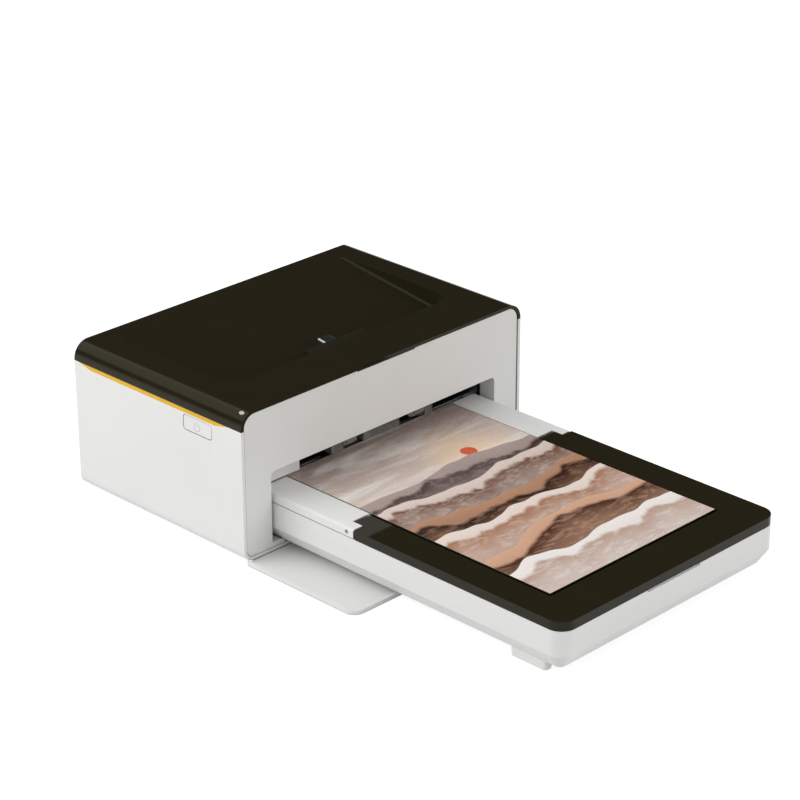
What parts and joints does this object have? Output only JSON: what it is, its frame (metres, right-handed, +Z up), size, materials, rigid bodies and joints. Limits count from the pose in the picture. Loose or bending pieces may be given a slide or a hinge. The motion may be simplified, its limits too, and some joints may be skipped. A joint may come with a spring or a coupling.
{
  "type": "compact photo printer",
  "caption": "Compact desktop photo printer with a phone dock on top, a pull-out paper tray with a hinged lid, a fold-down front door and its feed, ribbon and print head inside.",
  "frame": {"origin": "bottom centre of the whole outline, tray included, on the table", "axes": "+Z up, -Y towards the front where the tray comes out, +X to the right seen from the front"},
  "size_m": [0.166, 0.2624, 0.068],
  "materials": {
    "white_shell": "satin white",
    "gloss_cover": "glossy dark warm black",
    "accent": "satin yellow",
    "fascia": "satin light grey",
    "dark_plastic": "matt dark grey",
    "pale_plastic": "natural acetal",
    "rubber_dark": "matt",
    "rubber_pale": "matt light grey",
    "sheet_steel": "zinc plated",
    "shaft_steel": "ground",
    "screw_steel": "zinc plated",
    "plug_steel": "bright",
    "motor_steel": "plated",
    "pinion_brass": "turned",
    "aluminium": "extruded",
    "ceramic": "glazed",
    "circuit_board": "solder mask",
    "ink_film": "thin dye film",
    "paper": "coated",
    "print": "glossy picture print"
  },
  "bodies": {
    "body": {"lower_shell": "white_shell", "top_cover": "gloss_cover", "accent_strip_left": "accent", "accent_strip_right": "accent", "front_fascia": "fascia", "rear_panel": "white_shell", "rubber_feet": "rubber_dark", "shell_screws": "screw_steel", "dock_cradle": "dark_plastic", "dock_plug": "plug_steel", "button_board": "circuit_board", "door_hinge_pins": "shaft_steel", "chassis_plate_left": "sheet_steel", "chassis_plate_right": "sheet_steel", "chassis_tie_bars": "shaft_steel", "chassis_screws": "screw_steel", "exit_guide": "dark_plastic", "idler_axle": "shaft_steel", "feed_motor": "motor_steel", "ribbon_case": "dark_plastic", "ribbon_film": "ink_film", "feed_ramp": "dark_plastic", "paper_guide": "dark_plastic", "main_board": "circuit_board", "board_parts": "dark_plastic", "dc_inlet": "dark_plastic", "usb_port": "plug_steel"},
    "power_button": {"power_button": "white_shell"},
    "front_door": {"front_door": "white_shell"},
    "cartridge_door": {"cartridge_door": "white_shell"},
    "tray": {"tray_base": "white_shell", "tray_rear_cover": "white_shell", "lid_pins": "shaft_steel", "tray_feet": "white_shell", "print_sheet": "print", "lift_springs": "motor_steel"},
    "tray_lid": {"tray_lid": "gloss_cover"},
    "lift_plate": {"lift_plate": "sheet_steel", "paper_stack": "paper"},
    "feed_roller": {"feed_roller": "shaft_steel", "feed_gear": "pale_plastic"},
    "pinch_roller": {"pinch_roller": "rubber_dark"},
    "platen": {"platen_shaft": "shaft_steel", "platen_roller": "rubber_dark"},
    "pickup": {"pickup_shaft": "shaft_steel", "pickup_roller": "rubber_dark", "pickup_gear": "pale_plastic"},
    "exit_rollers": {"exit_shaft": "shaft_steel", "exit_rollers": "rubber_pale"},
    "idler": {"idler_gear": "pale_plastic"},
    "motor_rotor": {"motor_pinion": "pinion_brass"},
    "takeup": {"takeup_spool": "pale_plastic", "takeup_roll": "ink_film", "takeup_drive": "pale_plastic"},
    "supply": {"supply_spool": "pale_plastic", "supply_roll": "ink_film"},
    "print_head": {"print_head": "ceramic", "head_heatsink": "aluminium"}
  },
  "joints": [
    {"name": "tray_slide", "type": "slide", "parent": "body", "child": "tray", "axis": [0, -1, 0], "range_m": [0, 0.026]},
    {"name": "lid_hinge", "type": "hinge", "parent": "tray", "child": "tray_lid", "pos_m": [0, -0.01575, 0.0245], "axis": [-1, 0, 0], "range_deg": [0, 90], "deforming": ["print_sheet"]},
    {"name": "lift_plate_pivot", "type": "hinge", "parent": "tray", "child": "lift_plate", "pos_m": [0, -0.12175, 0.0124], "axis": [1, 0, 0], "range_deg": [-0.45, 0], "stiffness_Nm_per_rad": 4, "springref_deg": 3.44, "deforming": ["lift_springs"]},
    {"name": "front_door_hinge", "type": "hinge", "parent": "body", "child": "front_door", "pos_m": [0, 0.02575, 0.0016], "axis": [-1, 0, 0], "range_deg": [0, 2]},
    {"name": "cartridge_door_hinge", "type": "hinge", "parent": "body", "child": "cartridge_door", "pos_m": [0.082, 0.08335, 0.03509], "axis": [0, 1, 0], "range_deg": [0, 90]},
    {"name": "power_button_press", "type": "slide", "parent": "body", "child": "power_button", "axis": [1, 0, 0], "range_m": [0, 0.0008], "stiffness_N_per_m": 400, "springref_m": -0.0008},
    {"name": "feed_roller_spin", "type": "hinge", "parent": "body", "child": "feed_roller", "pos_m": [0, 0.06625, 0.02637], "axis": [1, 0, 0], "continuous": true},
    {"name": "pinch_roller_spin", "type": "hinge", "parent": "body", "child": "pinch_roller", "pos_m": [0, 0.06625, 0.03313], "axis": [1, 0, 0], "continuous": true},
    {"name": "platen_spin", "type": "hinge", "parent": "body", "child": "platen", "pos_m": [0, 0.08225, 0.02325], "axis": [1, 0, 0], "continuous": true},
    {"name": "pickup_spin", "type": "hinge", "parent": "body", "child": "pickup", "pos_m": [0, 0.04333, 0.0228], "axis": [1, 0, 0], "continuous": true},
    {"name": "exit_spin", "type": "hinge", "parent": "body", "child": "exit_rollers", "pos_m": [0, 0.03885, 0.0302], "axis": [1, 0, 0], "continuous": true},
    {"name": "idler_spin", "type": "hinge", "parent": "body", "child": "idler", "pos_m": [0, 0.0851, 0.01758], "axis": [1, 0, 0], "continuous": true},
    {"name": "motor_spin", "type": "hinge", "parent": "body", "child": "motor_rotor", "pos_m": [0, 0.0979, 0.01758], "axis": [1, 0, 0], "continuous": true},
    {"name": "takeup_spin", "type": "hinge", "parent": "body", "child": "takeup", "pos_m": [0, 0.06225, 0.04679], "axis": [1, 0, 0], "continuous": true},
    {"name": "supply_spin", "type": "hinge", "parent": "body", "child": "supply", "pos_m": [0, 0.10325, 0.04679], "axis": [1, 0, 0], "continuous": true},
    {"name": "print_head_lift", "type": "slide", "parent": "body", "child": "print_head", "axis": [0, 0, 1], "range_m": [0, 0.002]}
  ],
  "couplings": [
    {"joint": "pinch_roller_spin", "follows": "feed_roller_spin", "ratio": -0.85714},
    {"joint": "platen_spin", "follows": "feed_roller_spin", "ratio": 0.5},
    {"joint": "pickup_spin", "follows": "feed_roller_spin", "ratio": -1.2308},
    {"joint": "exit_spin", "follows": "feed_roller_spin", "ratio": -1.0345},
    {"joint": "idler_spin", "follows": "feed_roller_spin", "ratio": -1.6},
    {"joint": "motor_spin", "follows": "feed_roller_spin", "ratio": 2.6667},
    {"joint": "takeup_spin", "follows": "feed_roller_spin", "ratio": -1.6},
    {"joint": "supply_spin", "follows": "feed_roller_spin", "ratio": -0.89756}
  ]
}
